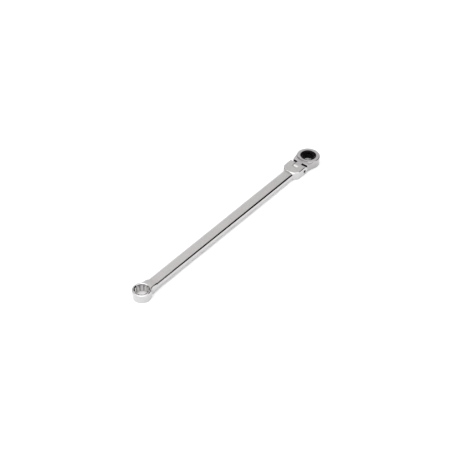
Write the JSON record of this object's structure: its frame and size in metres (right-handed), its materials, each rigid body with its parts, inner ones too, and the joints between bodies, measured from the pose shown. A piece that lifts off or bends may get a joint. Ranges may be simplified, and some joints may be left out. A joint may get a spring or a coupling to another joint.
{
  "type": "ratchet wrench",
  "caption": "Long flat wrench with a fixed twelve-point box end and a hinged ratcheting box head that flexes up and down.",
  "frame": {"origin": "centre of the fixed box end's opening, halfway through its thickness", "axes": "+X along the handle to the flex head, +Z along the socket axes, up when the wrench lies flat; the flex pin runs along Y"},
  "size_m": [0.2863, 0.0254, 0.01],
  "materials": {
    "chrome_forging": "satin chrome flats, polished edges",
    "black_steel": "black oxide, lightly oiled",
    "spring_steel": "tempered, uncoated",
    "pin_steel": "ground"
  },
  "bodies": {
    "handle": {"handle": "chrome_forging", "flex_pin": "pin_steel", "friction_washer_right": "spring_steel", "friction_washer_left": "spring_steel"},
    "flex_head": {"ratchet_head": "chrome_forging", "retaining_ring": "spring_steel", "pawl_spring": "spring_steel"},
    "drive_ring": {"ratchet_ring": "black_steel"},
    "pawl": {"pawl": "black_steel"}
  },
  "joints": [
    {"name": "head_flex", "type": "hinge", "parent": "handle", "child": "flex_head", "pos_m": [0.2439, 0, 0], "axis": [0, -1, 0], "range_deg": [-90, 90]},
    {"name": "ring_spin", "type": "hinge", "parent": "flex_head", "child": "drive_ring", "pos_m": [0.2644, 0, 0], "axis": [0, 0, 1], "continuous": true},
    {"name": "pawl_slide", "type": "slide", "parent": "flex_head", "child": "pawl", "axis": [-1, 0, 0], "range_m": [0, 0.0006], "stiffness_N_per_m": 500, "springref_m": -0.0012, "deforming": ["pawl_spring"]}
  ]
}
